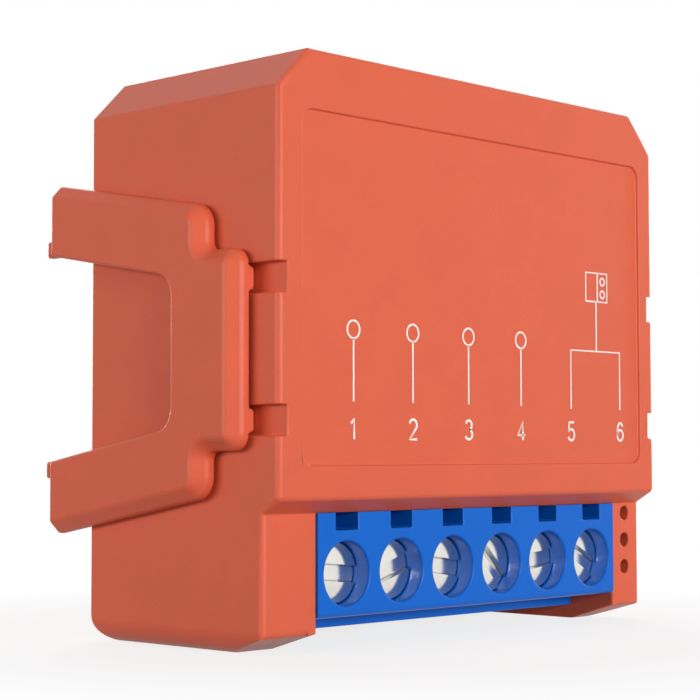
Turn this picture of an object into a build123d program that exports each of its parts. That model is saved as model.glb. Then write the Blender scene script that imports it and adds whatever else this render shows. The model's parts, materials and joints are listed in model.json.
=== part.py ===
from build123d import *
import os
from math import hypot, radians, tan

os.makedirs("parts", exist_ok=True)

# The case is a shallow box: x runs to the right seen from the front, y runs back and z runs up.
# The origin is the centre of the back face. All sizes are in millimetres.

# Terminal strip and ears, which together set the width of the case
pole_count = 6
pole_pitch = 5.0
strip_end_gap = 0.09
left_ear_width = 4.51
right_ear_width = 3.32

# Case
case_height = 36.6
case_depth = 17.6
wall = 1.1
top_chamfer = 2.6
base_side_radius = 1.5
base_rear_radius = 1.8
front_edge_radius = 0.4
ear_setback = 1.43
panel_rise = 9.31
bevel_drop = 0.86
ear_face_rise = 1.13
ear_underside_run = 3.75
ear_inner_wall = 0.7
sill_height = 2.2
sill_depth = 4.2
label_left_margin = 1.98
label_right_margin = 1.7
label_low_margin = 2.02
label_top_margin = 3.75
label_corner_radius = 0.9
label_depth = 0.2
slot_pitch = 8.52
slot_height = 1.86
slot_depth = 0.7
slot_length = 7.0
ear_hole_radius = 0.5
ear_hole_inset = 1.77
ear_hole_rises = (7.7, 5.77, 3.84)
guide_bridge_setback = 4.2
guide_bridge_depth = 1.0
overrun = 1.0

# Fits
slide_gap = 0.05
running_gap = 0.1
seat_gap = 0.15
lead_gap = 0.08

# Back cover and board
cover_thickness = 1.2
joint_space = 1.2
board_thickness = 1.2
board_low_gap = 1.2
board_high_gap = 1.3
board_corner = 1.2
part_gap = 0.8
rib_width = 1.0
rib_height = 1.6
rib_low_rise = 10.2
rib_top_drop = 5.0
hook_spacing = 18.0
hook_width = 4.0
hook_thickness = 0.7
barb_height = 0.3
barb_length = 0.9
groove_margin = 0.15

# Side clip
clip_thickness = 1.42
clip_gap = 0.2
clip_bevel = 0.78
clip_front_setback = 2.27
clip_bar_half = 6.1
clip_step_setback = 3.08
clip_arm_root_half = 8.87
clip_arm_splay = 10.0
clip_arm_length = 17.7
clip_notch_setback = 5.7
clip_notch_half = 4.62
clip_notch_radius = 1.5
clip_bar_corner = 1.1
clip_step_corner = 0.6
clip_shoulder_corner = 1.5
clip_tongue_height = 1.4
clip_tongue_length = 4.3
clip_tail_height = 1.12
clip_tail_length = 1.4
clip_tail_thickness = 0.64

# Terminal strip
strip_proud = 0.13
strip_lip_rise = 2.0
strip_lip_radius = 0.35
strip_floor_rise = 1.0
strip_floor_setback = 5.1
strip_top_rise = 10.4
screw_rise = 4.67
well_radius = 2.0
well_rim = 0.08
head_recess = 0.94
head_gap = 0.07
head_thickness = 1.91
head_crown = 0.16
head_slot_width = 1.06
head_slot_depth = 0.4
shank_radius = 1.25
shelf_thickness = 0.6
slot_angles = (-5.6, 16.6, -8.0, -46.2, 6.1, -27.9)
window_width = 2.0
window_rise = 7.35
window_height = 2.05
window_depth = 3.2
chamber_width = 4.1
chamber_low_rise = 2.3
chamber_top_rise = 8.3
strip_rear_wall = 0.65
wire_radius = 1.25
wire_lead_in = 0.3
lead_in_angle = 45.0

# Rising clamp cage and contact bar
cage_height = 4.4
cage_side_wall = 0.6
cage_front_wall = 1.2
cage_rear_wall = 0.7
cage_travel = 2.0
screw_point_length = 0.3
bar_width = 2.3
bar_thickness = 0.8
bar_gap = 0.25
bar_low_rise = 2.6
pin_width = 1.0
pin_thickness = 0.7
pin_stub = 0.6

# Relay
relay_width = 5.3
relay_top_gap = 4.3
relay_inset = 1.9
relay_skin = 0.4
relay_base_thickness = 1.0
relay_head_gap = 0.3
relay_corner = 0.5
bobbin_flange = 0.5
bobbin_width = 4.2
bobbin_tube_radius = 1.35
coil_radius = 1.95
core_radius = 0.9
core_face_radius = 1.6
core_face_thickness = 0.4
coil_setback = 3.9
yoke_thickness = 0.8
yoke_width = 3.6
armature_space = 0.9
armature_thickness = 0.6
armature_gap = 0.3
armature_play = 0.06
armature_neck = 2.4
contact_blade_thickness = 0.4
contact_blade_width = 2.6
contact_inset = 3.0
contact_gap = 0.75
rivet_radius = 0.8
rivet_height = 0.4
relay_pin_width = 0.8
relay_pin_thickness = 0.4

# Transformer
core_width = 10.2
core_depth = 4.8
core_leg = 2.3
core_frame = 1.5
transformer_stand = 1.9
transformer_head_gap = 1.2
transformer_inset = 5.8
transformer_top_drop = 6.7
bobbin_foot_width = 9.4
bobbin_foot_length = 10.6
bobbin_wall = 0.45
bobbin_gap = 0.1
winding_overhang = 2.2
winding_corner = 1.2

# Capacitors, surge disc and resistor
big_can_radius = 4.0
big_can_head_gap = 2.0
small_can_radius = 3.1
small_can_length = 8.0
can_groove = 0.25
can_groove_height = 0.8
can_groove_rise = 1.2
can_corner = 0.4
can_lift = 0.1
lead_radius = 0.3
lead_stub = 0.6
disc_radius = 3.5
disc_thickness = 3.0
disc_edge = 1.0
disc_lift = 0.8
resistor_radius = 1.4
resistor_length = 7.0
resistor_waist = 0.2
resistor_lift = 0.4
resistor_lead_reach = 0.9
resistor_lead_bend = 0.5
resistor_lead_space = 0.4

# Chips and small parts: width, height off the board and length
bridge_size = (4.7, 1.6, 3.9)
converter_size = (4.2, 1.4, 3.9)
coupler_size = (3.6, 2.0, 4.4)
bridge_foot_count = 2
converter_foot_count = 4
coupler_foot_count = 2
chip_foot_length = 0.7
chip_foot_width = 0.5
chip_foot_thickness = 0.3
chip_corner = 0.25
chip_stand = 0.1
small_part_size = (1.2, 0.55, 0.7)
small_part_pitch = 1.1
small_part_count = 4

# Radio board
radio_board_thickness = 0.8
radio_inset = 1.6
radio_front_gap = 1.4
radio_top_gap = 2.5
radio_lift = 2.2
shield_height = 2.1
shield_skin = 0.25
shield_length = 11.6
shield_margin = 0.9
shield_corner = 0.5
radio_chip_size = (0.8, 5.0, 5.0)
header_size = 1.3
header_pitch = 2.0
header_count = 5
header_low_gap = 1.0
header_foot = 0.5
header_reach = 1.2

# Pairing button, its switch and the two lights
plunger_radius = 0.5
plunger_collar_radius = 0.6
plunger_collar_length = 0.5
switch_width = 1.2
switch_height = 2.4
switch_depth = 1.3
stem_width = 0.8
stem_height = 1.2
stem_corner = 0.2
stem_stand = 0.4
stem_seat = 0.3
button_travel = 0.25
light_size = (0.8, 0.6, 0.7)

# Derived places of the case
strip_width = pole_count * pole_pitch
case_width = left_ear_width + right_ear_width + strip_width + 2 * strip_end_gap
left_x = -case_width / 2
right_x = case_width / 2
base_z = -case_height / 2
top_z = case_height / 2
front_y = -case_depth
ear_y = front_y + ear_setback
panel_z = base_z + panel_rise
ear_top_z = panel_z - bevel_drop
pocket_left = left_x + left_ear_width
pocket_right = right_x - right_ear_width
pocket_rear_y = -sill_depth
panel_back_y = front_y + wall
ear_back_y = ear_y + wall
inner_left = left_x + wall
inner_right = right_x - wall
inner_top_z = top_z - wall
sill_z = base_z + sill_height
inner_chamfer = top_chamfer - wall * (2 - 2 ** 0.5)
ear_hole_x = right_x - ear_hole_inset
bridge_front_y = ear_y + guide_bridge_setback
bridge_rear_y = bridge_front_y + guide_bridge_depth
ear_middle_x = (pocket_right + ear_inner_wall + inner_right) / 2
button_z = base_z + ear_hole_rises[1]

# Derived places of the cover and the board
cover_front_y = -cover_thickness
board_back_y = cover_front_y - joint_space
board_y = board_back_y - board_thickness
board_left = inner_left + seat_gap
board_right = inner_right - seat_gap
board_low_z = sill_z + board_low_gap
board_top_z = inner_top_z - board_high_gap
hook_y = board_y + running_gap

# Derived places of the terminal strip
strip_x = (pocket_left + pocket_right) / 2
strip_y = ear_y - strip_proud
strip_lip_z = base_z + strip_lip_rise
strip_floor_z = base_z + strip_floor_rise
strip_floor_y = front_y + strip_floor_setback
strip_top_z = base_z + strip_top_rise
screw_z = base_z + screw_rise
pole_xs = [strip_x + pole_pitch * (pole - (pole_count - 1) / 2) for pole in range(pole_count)]
head_y = strip_y + head_recess
head_back_y = head_y + head_thickness
shelf_y = head_back_y + slide_gap
chamber_y = shelf_y + shelf_thickness
chamber_rear_y = board_y - strip_rear_wall
chamber_low_z = base_z + chamber_low_rise
chamber_top_z = base_z + chamber_top_rise
cage_width = chamber_width - 2 * running_gap
cage_y = chamber_y + running_gap + cage_travel
cage_rear_y = chamber_rear_y - running_gap
cage_inner_y = cage_y + cage_front_wall
cage_inner_rear_y = cage_rear_y - cage_rear_wall
screw_end_y = cage_inner_y + screw_point_length
bar_y = screw_end_y + bar_gap
bar_rear_y = bar_y + bar_thickness
wire_y = (bar_rear_y + cage_inner_rear_y) / 2
pin_z = chamber_top_z - pin_thickness / 2


def facing(y):
    """A plane parallel to the front, at this depth, that faces forwards."""
    return Plane.XZ.offset(-y)


def block(xs, ys, zs, mode=Mode.ADD):
    """A box between two places along each axis."""
    with Locations([((xs[0] + xs[1]) / 2, (ys[0] + ys[1]) / 2, (zs[0] + zs[1]) / 2)]):
        Box(xs[1] - xs[0], ys[1] - ys[0], zs[1] - zs[0], mode=mode)


def around(centre, size):
    """The two ends of a length that lies evenly about a centre."""
    return (centre - size / 2, centre + size / 2)


def write(piece, name):
    piece.part.label = name
    export_step(piece.part, f"parts/{name}.step")


def side_outline(rear_y):
    """The case seen from its side: panel, bevel, ear face, slanted underside, base and back."""
    return [
        (front_y, top_z),
        (front_y, panel_z),
        (ear_y, ear_top_z),
        (ear_y, base_z + ear_face_rise),
        (ear_y + ear_underside_run, base_z),
        (rear_y, base_z),
        (rear_y, top_z),
    ]


# The space inside the case, with the wall's thickness taken off all round and the back left open
with BuildPart() as case_hollow:
    with BuildSketch(Plane.YZ):
        with BuildLine():
            Polyline(*side_outline(wall + overrun), close=True)
        make_face()
        offset(amount=-wall, kind=Kind.INTERSECTION)
        with Locations((0, base_z)):
            Rectangle(2 * case_depth, 2 * sill_height, mode=Mode.SUBTRACT)
    extrude(amount=inner_right, both=True)
    chamfer(case_hollow.edges().filter_by(Axis.Y).group_by(Axis.Z)[-1], length=inner_chamfer)

# Case shell: panel, walls, ears, pocket for the terminal strip, slots, ribs and label recess
with BuildPart() as case_shell:
    with BuildSketch(Plane.XZ):
        Rectangle(case_width, case_height)
        chamfer(vertices().group_by(Axis.Y)[-1], length=top_chamfer)
        fillet(vertices().group_by(Axis.Y)[0], radius=base_side_radius)
    extrude(amount=case_depth)
    with BuildSketch(Plane.YZ):
        with BuildLine():
            Polyline(*side_outline(0), close=True)
        make_face()
        fillet(vertices().sort_by(Axis.X)[-2:].sort_by(Axis.Y)[0], radius=base_rear_radius)
    extrude(amount=case_width, both=True, mode=Mode.INTERSECT)
    panel = case_shell.faces().sort_by(Axis.Y)[0]
    ear_face = case_shell.faces().filter_by(lambda face: abs(face.center().Y - ear_y) < slide_gap)[0]
    bevel = case_shell.faces().filter_by(
        lambda face: front_y < face.center().Y < ear_y and ear_top_z < face.center().Z < panel_z
    )[0]
    rounded_edges = panel.edges() + ear_face.edges().sort_by(Axis.Z)[:-1]
    rounded_edges += bevel.edges().filter_by(lambda edge: abs(edge.center().X) > case_width / 2 - slide_gap)
    fillet(rounded_edges, radius=front_edge_radius)
    add(case_hollow.part, mode=Mode.SUBTRACT)

    # Inner walls of the ears, which guide the terminal strip
    for plate_x, plate_thickness in ((pocket_left, -ear_inner_wall), (pocket_right, ear_inner_wall)):
        with BuildSketch(Plane.YZ.offset(plate_x)):
            with BuildLine():
                Polyline(
                    (ear_y, ear_top_z),
                    (ear_y, base_z + ear_face_rise),
                    (ear_y + ear_underside_run, base_z),
                    (pocket_rear_y, base_z),
                    (pocket_rear_y, ear_top_z),
                    close=True,
                )
            make_face()
        extrude(amount=plate_thickness)

    # Bridge across the right ear, which guides the plunger and the two light guides
    block(
        (pocket_right, inner_right),
        (bridge_front_y, bridge_rear_y),
        (sill_z, base_z + ear_hole_rises[0] + ear_hole_inset),
    )
    block(
        (pocket_left, pocket_right),
        (front_y, pocket_rear_y),
        (base_z - overrun, ear_top_z),
        mode=Mode.SUBTRACT,
    )
    with BuildSketch(facing(ear_y)):
        with Locations(*[(ear_hole_x, base_z + rise) for rise in ear_hole_rises]):
            Circle(ear_hole_radius)
    extrude(amount=-wall - slide_gap, mode=Mode.SUBTRACT)
    with BuildSketch(facing(bridge_front_y)):
        with Locations(*[(ear_hole_x, base_z + rise) for rise in ear_hole_rises]):
            Circle(plunger_radius + slide_gap)
    extrude(amount=-guide_bridge_depth, mode=Mode.SUBTRACT)

    # Ribs on the side walls that the board rests on
    for rib_z in (base_z + rib_low_rise, top_z - rib_top_drop):
        block((inner_left, inner_left + rib_width), (panel_back_y, board_y), around(rib_z, rib_height))
        block((inner_right - rib_width, inner_right), (panel_back_y, board_y), around(rib_z, rib_height))

    # Two slots in each side wall, open at the front
    for slot_z in around(0, slot_pitch):
        for slot_xs in ((left_x, left_x + slot_depth), (right_x - slot_depth, right_x)):
            block(slot_xs, (front_y, front_y + slot_length), around(slot_z, slot_height), mode=Mode.SUBTRACT)

    # Grooves for the cover's snap hooks in the top wall and in the sill
    for hook_x in around(0, hook_spacing):
        groove_xs = around(hook_x, hook_width + 2 * groove_margin)
        groove_ys = (hook_y - groove_margin, hook_y + barb_length + groove_margin)
        groove_depth = barb_height + groove_margin
        block(groove_xs, groove_ys, (inner_top_z, inner_top_z + groove_depth), mode=Mode.SUBTRACT)
        block(groove_xs, groove_ys, (sill_z - groove_depth, sill_z), mode=Mode.SUBTRACT)

    # Shallow recess for the printed wiring plan
    label_width = case_width - label_left_margin - label_right_margin
    label_low_z = panel_z + label_low_margin
    label_height = top_z - label_top_margin - label_low_z
    with BuildSketch(facing(front_y)):
        with Locations((left_x + label_left_margin + label_width / 2, label_low_z + label_height / 2)):
            RectangleRounded(label_width, label_height, label_corner_radius)
    extrude(amount=-label_depth, mode=Mode.SUBTRACT)
write(case_shell, "case_shell")

# Back cover: a plate inside the walls, pegs behind the board and four snap hooks
with BuildPart() as back_cover:
    with BuildSketch(Plane.XZ):
        with Locations((0, (sill_z + inner_top_z) / 2)):
            Rectangle(inner_right - inner_left - 2 * seat_gap, inner_top_z - sill_z - 2 * seat_gap)
        chamfer(vertices().group_by(Axis.Y)[-1], length=inner_chamfer)
    extrude(amount=cover_thickness)
    for peg_z in (base_z + rib_low_rise, top_z - rib_top_drop):
        for peg_x in (board_left + rib_width, board_right - rib_width):
            block(around(peg_x, rib_width), (board_back_y, cover_front_y), around(peg_z, rib_height))
    for hook_x in around(0, hook_spacing):
        for edge_z, inward in ((inner_top_z - seat_gap, -1), (sill_z + seat_gap, 1)):
            with BuildSketch(Plane.YZ.offset(hook_x)):
                with BuildLine():
                    Polyline(
                        (cover_front_y, edge_z),
                        (hook_y + barb_length, edge_z),
                        (hook_y + barb_length, edge_z - inward * barb_height),
                        (hook_y, edge_z),
                        (hook_y, edge_z + inward * hook_thickness),
                        (cover_front_y, edge_z + inward * hook_thickness),
                        close=True,
                    )
                make_face()
            extrude(amount=hook_width / 2, both=True)
write(back_cover, "back_cover")


def corners_at(y):
    return vertices().filter_by(lambda corner: abs(corner.X - y) < slide_gap).sort_by(Axis.Y)


# Side clip: a C plate with splayed arms that runs along the left wall
clip_x = left_x - clip_gap
clip_front_y = front_y + clip_front_setback
clip_step_y = clip_front_y + clip_step_setback
clip_end_y = clip_front_y + clip_arm_length
clip_notch_y = clip_front_y + clip_notch_setback
splay = tan(radians(clip_arm_splay))
arm_outer_end = clip_arm_root_half + splay * (clip_end_y - clip_step_y)
arm_inner_end = clip_notch_half + splay * (clip_end_y - clip_notch_y)
with BuildPart() as side_clip:
    with BuildSketch(Plane.YZ.offset(clip_x)):
        with BuildLine():
            Polyline(
                (clip_front_y, -clip_bar_half),
                (clip_front_y, clip_bar_half),
                (clip_step_y, clip_bar_half),
                (clip_step_y, clip_arm_root_half),
                (clip_end_y, arm_outer_end),
                (clip_end_y, arm_inner_end),
                (clip_notch_y, clip_notch_half),
                (clip_notch_y, -clip_notch_half),
                (clip_end_y, -arm_inner_end),
                (clip_end_y, -arm_outer_end),
                (clip_step_y, -clip_arm_root_half),
                (clip_step_y, -clip_bar_half),
                close=True,
            )
        make_face()
        fillet(vertices().group_by(Axis.X)[0], radius=clip_bar_corner)
        fillet(corners_at(clip_notch_y), radius=clip_notch_radius)
        fillet(corners_at(clip_step_y)[1:-1], radius=clip_step_corner)
        step_corners = corners_at(clip_step_y)
        fillet([step_corners[0], step_corners[-1]], radius=clip_shoulder_corner)
    extrude(amount=-clip_thickness)
    outer_face = side_clip.faces().sort_by(Axis.X)[0]
    outer_edges = outer_face.edges().filter_by(
        lambda edge: edge.center().Y < clip_notch_y - clip_notch_radius
        or abs(edge.center().Z) > clip_arm_root_half
        and edge.center().Y < clip_end_y - running_gap
    )
    chamfer(outer_edges, length=clip_bevel)
    for side in (-1, 1):
        tongue_zs = around(side * slot_pitch / 2, clip_tongue_height)
        block(
            (clip_x, left_x + slot_depth - running_gap),
            (clip_front_y, clip_front_y + clip_tongue_length),
            tongue_zs,
        )
        tail_z = side * (arm_inner_end + clip_tail_height / 2)
        block(
            (clip_x - clip_tail_thickness, clip_x),
            (clip_end_y - clip_tail_length, clip_end_y + clip_tail_length),
            around(tail_z, clip_tail_height),
        )
write(side_clip, "side_clip")

# Terminal strip housing: one moulding with screw wells, windows, cage chambers and wire entries
with BuildPart() as terminal_strip:
    with BuildSketch(Plane.YZ.offset(strip_x)):
        ledge_z = ear_top_z - strip_end_gap
        ledge_y = ear_back_y + running_gap
        sill_clear_y = pocket_rear_y - running_gap
        sill_clear_z = sill_z + running_gap
        with BuildLine():
            Polyline(
                (strip_y, strip_lip_z),
                (strip_y, ledge_z),
                (ledge_y, ledge_z),
                (ledge_y, strip_top_z),
                (board_y, strip_top_z),
                (board_y, sill_clear_z),
                (sill_clear_y, sill_clear_z),
                (sill_clear_y, strip_floor_z),
                (strip_floor_y, strip_floor_z),
                (strip_floor_y, strip_lip_z),
                close=True,
            )
        make_face()
        fillet(vertices().sort_by(Axis.X)[:2].sort_by(Axis.Y)[0], radius=strip_lip_radius)
    extrude(amount=strip_width / 2, both=True)
    screw_places = [(x, screw_z) for x in pole_xs]
    with BuildSketch(facing(strip_y)):
        with Locations(*screw_places):
            Circle(well_radius)
    extrude(amount=strip_y - shelf_y, mode=Mode.SUBTRACT)
    chamfer(terminal_strip.faces().sort_by(Axis.Y)[0].inner_wires().edges(), length=well_rim)
    with BuildSketch(facing(shelf_y)):
        with Locations(*screw_places):
            Circle(shank_radius + running_gap)
    extrude(amount=-shelf_thickness, mode=Mode.SUBTRACT)
    for pole_x in pole_xs:
        block(
            around(pole_x, window_width),
            (strip_y, strip_y + window_depth),
            (base_z + window_rise, base_z + window_rise + window_height),
            mode=Mode.SUBTRACT,
        )
        block(
            around(pole_x, chamber_width),
            (chamber_y, chamber_rear_y),
            (chamber_low_z, chamber_top_z),
            mode=Mode.SUBTRACT,
        )
        block(
            around(pole_x, pin_width + 2 * lead_gap),
            (chamber_rear_y, board_y),
            (chamber_top_z - pin_thickness - lead_gap, chamber_top_z),
            mode=Mode.SUBTRACT,
        )
    with BuildSketch(Plane.XY.offset(strip_floor_z)):
        with Locations(*[(x, wire_y) for x in pole_xs]):
            Circle(wire_radius)
    extrude(amount=chamber_low_z - strip_floor_z, mode=Mode.SUBTRACT)
    with BuildSketch(Plane.XY.offset(strip_floor_z)):
        with Locations(*[(x, wire_y) for x in pole_xs]):
            Circle(wire_radius + wire_lead_in)
    extrude(amount=wire_lead_in, taper=lead_in_angle, mode=Mode.SUBTRACT)
write(terminal_strip, "terminal_strip")

# Screws, clamp cages and contact bars, one of each for every pole
head_radius = well_radius - head_gap
for pole in range(pole_count):
    pole_x = pole_xs[pole]
    screw_axis = Axis((pole_x, 0, screw_z), (0, 1, 0))
    with BuildPart() as terminal_screw:
        with BuildSketch(Plane((pole_x, 0, screw_z))):
            with BuildLine():
                crown = TangentArc((0, head_y), (head_radius, head_y + head_crown), tangent=(1, 0))
                Polyline(
                    crown @ 1,
                    (head_radius, head_back_y),
                    (shank_radius, head_back_y),
                    (shank_radius, screw_end_y),
                    (0, screw_end_y),
                    crown @ 0,
                )
            make_face()
        revolve(axis=screw_axis)
        with BuildSketch(facing(head_y)):
            with Locations((pole_x, screw_z)):
                Rectangle(2 * well_radius, head_slot_width, rotation=slot_angles[pole])
        extrude(amount=-head_slot_depth, mode=Mode.SUBTRACT)
    write(terminal_screw, f"terminal_screw_{pole + 1}")

    with BuildPart() as clamp_cage:
        with BuildSketch(Plane.XY.offset(screw_z)):
            with Locations((pole_x, (cage_y + cage_rear_y) / 2)):
                RectangleRounded(cage_width, cage_rear_y - cage_y, cage_side_wall / 2)
            with Locations((pole_x, (cage_inner_y + cage_inner_rear_y) / 2)):
                Rectangle(
                    cage_width - 2 * cage_side_wall,
                    cage_inner_rear_y - cage_inner_y,
                    mode=Mode.SUBTRACT,
                )
        extrude(amount=cage_height / 2, both=True)
        with BuildSketch(facing(cage_y)):
            with Locations((pole_x, screw_z)):
                Circle(shank_radius + slide_gap)
        extrude(amount=-cage_front_wall, mode=Mode.SUBTRACT)
    write(clamp_cage, f"clamp_cage_{pole + 1}")

    with BuildPart() as contact_bar:
        block(around(pole_x, bar_width), (bar_y, bar_rear_y), (base_z + bar_low_rise, chamber_top_z))
        block(
            around(pole_x, pin_width),
            (bar_rear_y, board_back_y + pin_stub),
            (chamber_top_z - pin_thickness, chamber_top_z),
        )
    write(contact_bar, f"contact_bar_{pole + 1}")

# Places of the parts on the board, which stands behind them
relay_x = inner_left + relay_inset + relay_width / 2
relay_right = relay_x + relay_width / 2
relay_low_z = strip_top_z + part_gap
relay_high_z = inner_top_z - relay_top_gap
relay_y = panel_back_y + relay_head_gap
relay_base_y = board_y - relay_base_thickness
big_can_x = relay_right + part_gap + big_can_radius
big_can_z = strip_top_z + part_gap + big_can_radius
small_can_x = relay_right + part_gap + small_can_radius
small_can_z = board_top_z - part_gap - small_can_radius
disc_x = big_can_x + big_can_radius + part_gap + disc_thickness / 2
disc_z = strip_top_z + part_gap + disc_radius
disc_y = board_y - disc_lift - disc_radius
resistor_x = disc_x + disc_thickness / 2 + part_gap + resistor_radius
resistor_z = strip_top_z + part_gap + resistor_radius
resistor_y = board_y - resistor_lift - resistor_length / 2
resistor_lead_z = resistor_z + resistor_radius + resistor_lead_space + lead_radius
bridge_x = resistor_x + resistor_radius + part_gap + bridge_size[0] / 2
bridge_z = strip_top_z + part_gap + chip_foot_length + bridge_size[2] / 2
coupler_x = disc_x
coupler_z = disc_z + disc_radius + part_gap + chip_foot_length + coupler_size[2] / 2
radio_right = inner_right - radio_inset
radio_left = radio_right - radio_board_thickness
radio_low_z = strip_top_z + radio_lift
radio_y = panel_back_y + radio_front_gap
radio_high_z = inner_top_z - radio_top_gap
header_z = radio_low_z + header_low_gap + header_count * header_pitch / 2
shield_left = radio_left - shield_height
shield_width = board_y - radio_y - 2 * shield_margin
shield_middle_y = (radio_y + board_y) / 2
shield_middle_z = radio_low_z + shield_margin + shield_length / 2
transformer_x = shield_left - transformer_inset
transformer_z = inner_top_z - transformer_top_drop
transformer_back_y = board_y - transformer_stand
transformer_y = panel_back_y + transformer_head_gap
converter_end_x = transformer_x + converter_size[2] / 2 + chip_foot_length
small_part_x = converter_end_x + (part_gap + small_part_size[0]) / 2

# Where leads go through the board: across, up and radius of each hole
contact_z = relay_low_z + contact_inset
coil_z = relay_high_z - relay_skin - seat_gap - coil_setback
relay_hole_radius = hypot(relay_pin_width, relay_pin_thickness) / 2 + lead_gap
lead_hole_radius = lead_radius + lead_gap
relay_pins = [
    (relay_x, contact_z - contact_blade_width / 2),
    (relay_x - bobbin_width / 2 + relay_pin_width, coil_z),
    (relay_x + bobbin_width / 2 - relay_pin_width, coil_z),
    (relay_x, relay_high_z - coil_setback / 2),
]
big_can_leads = [(big_can_x + side * big_can_radius / 2, big_can_z) for side in (-1, 1)]
small_can_leads = [(small_can_x + side * small_can_radius / 2, small_can_z) for side in (-1, 1)]
disc_leads = [(disc_x, disc_z + side * disc_radius / 2) for side in (-1, 1)]
resistor_leads = [(resistor_x, resistor_z), (resistor_x, resistor_lead_z)]
transformer_pin_rise = bobbin_foot_length / 2 - 2 * lead_radius
transformer_pins = [
    (transformer_x + across * bobbin_foot_width / 3, transformer_z + up * transformer_pin_rise)
    for across in (-1, 0, 1)
    for up in (-1, 1)
]

header_pins = [
    (radio_right + header_foot / 2, header_z + header_pitch * (way - (header_count - 1) / 2))
    for way in range(header_count)
]

# Circuit board, with a hole for every lead
with BuildPart() as circuit_board:
    with BuildSketch(facing(board_y)):
        with Locations(((board_left + board_right) / 2, (board_low_z + board_top_z) / 2)):
            Rectangle(board_right - board_left, board_top_z - board_low_z)
        chamfer(vertices().group_by(Axis.Y)[-1], length=board_corner)
        with Locations(*[(x, pin_z) for x in pole_xs]):
            Circle(hypot(pin_width, pin_thickness) / 2 + lead_gap, mode=Mode.SUBTRACT)
        with Locations(*relay_pins):
            Circle(relay_hole_radius, mode=Mode.SUBTRACT)
        with Locations(*header_pins):
            Circle(header_foot / 2 ** 0.5 + lead_gap, mode=Mode.SUBTRACT)
        with Locations(*big_can_leads, *small_can_leads, *disc_leads, *resistor_leads, *transformer_pins):
            Circle(lead_hole_radius, mode=Mode.SUBTRACT)
    extrude(amount=-board_thickness)
write(circuit_board, "circuit_board")

# Relay base with its coil pins, and the cover that stands on the board around it
relay_middle_z = (relay_low_z + relay_high_z) / 2
relay_inner_width = relay_width - 2 * relay_skin
relay_inner_length = relay_high_z - relay_low_z - 2 * relay_skin
with BuildPart() as relay_base:
    block(
        around(relay_x, relay_inner_width - 2 * running_gap),
        (relay_base_y, board_y),
        around(relay_middle_z, relay_inner_length - 2 * running_gap),
    )
    for pin_x, place_z in relay_pins[1:]:
        block(
            around(pin_x, relay_pin_width),
            (board_y, board_back_y + pin_stub),
            around(place_z, relay_pin_thickness),
        )
    block(
        around(relay_pins[0][0], relay_pin_width + 2 * lead_gap),
        (relay_base_y, board_y),
        around(relay_pins[0][1], relay_pin_thickness + 2 * lead_gap),
        mode=Mode.SUBTRACT,
    )
write(relay_base, "relay_base")

with BuildPart() as relay_cover:
    with BuildSketch(facing(relay_y)):
        with Locations((relay_x, relay_middle_z)):
            RectangleRounded(relay_width, relay_high_z - relay_low_z, relay_corner)
    extrude(amount=relay_y - board_y)
    fillet(relay_cover.faces().sort_by(Axis.Y)[0].edges(), radius=relay_skin / 2)
    block(
        around(relay_x, relay_inner_width),
        (relay_y + relay_skin, board_y),
        around(relay_middle_z, relay_inner_length),
        mode=Mode.SUBTRACT,
    )
write(relay_cover, "relay_cover")

# Relay magnet: an L yoke, a headed core, the bobbin and its coil
armature_y = relay_y + relay_skin + armature_space
armature_back_y = armature_y + armature_thickness
yoke_top_y = armature_back_y + armature_play
yoke_back_y = relay_base_y - slide_gap
yoke_plate_y = yoke_back_y - yoke_thickness
yoke_high_z = relay_high_z - relay_skin - seat_gap
core_y = armature_back_y + armature_gap
coil_y = core_y + core_face_thickness + slide_gap
with BuildPart() as relay_yoke:
    block(
        around(relay_x, yoke_width),
        (yoke_plate_y, yoke_back_y),
        (coil_z - bobbin_width / 2, yoke_high_z),
    )
    block(
        around(relay_x, yoke_width),
        (yoke_top_y, yoke_back_y),
        (yoke_high_z - yoke_thickness, yoke_high_z),
    )
    with BuildSketch(facing(yoke_plate_y)):
        with Locations((relay_x, coil_z)):
            Circle(core_radius + slide_gap)
    extrude(amount=-yoke_thickness, mode=Mode.SUBTRACT)
write(relay_yoke, "relay_yoke")

with BuildPart() as relay_core:
    with BuildSketch(facing(core_y)):
        with Locations((relay_x, coil_z)):
            Circle(core_face_radius)
    extrude(amount=-core_face_thickness)
    with BuildSketch(facing(core_y + core_face_thickness)):
        with Locations((relay_x, coil_z)):
            Circle(core_radius)
    extrude(amount=core_y + core_face_thickness - yoke_back_y)
write(relay_core, "relay_core")

with BuildPart() as relay_bobbin:
    with BuildSketch(facing(coil_y)):
        with Locations((relay_x, coil_z)):
            Circle(bobbin_tube_radius)
    extrude(amount=coil_y - yoke_plate_y)
    for flange_y in (coil_y, yoke_plate_y - bobbin_flange):
        block(
            around(relay_x, bobbin_width),
            (flange_y, flange_y + bobbin_flange),
            around(coil_z, bobbin_width),
        )
    with BuildSketch(facing(coil_y)):
        with Locations((relay_x, coil_z)):
            Circle(core_radius + slide_gap)
    extrude(amount=coil_y - yoke_plate_y, mode=Mode.SUBTRACT)
write(relay_bobbin, "relay_bobbin")

with BuildPart() as relay_coil:
    with BuildSketch(facing(coil_y + bobbin_flange)):
        with Locations((relay_x, coil_z)):
            Circle(coil_radius)
            Circle(bobbin_tube_radius, mode=Mode.SUBTRACT)
    extrude(amount=coil_y - yoke_plate_y + 2 * bobbin_flange)
write(relay_coil, "relay_coil")

# Relay armature, which rocks on the yoke's edge and carries the moving contact
with BuildPart() as relay_armature:
    block(
        around(relay_x, yoke_width),
        (armature_y, armature_back_y),
        (coil_z - bobbin_width / 2, yoke_high_z),
    )
    block(
        around(relay_x, armature_neck),
        (armature_y, armature_back_y),
        (contact_z - rivet_radius - running_gap, coil_z - bobbin_width / 2),
    )
write(relay_armature, "relay_armature")

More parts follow.
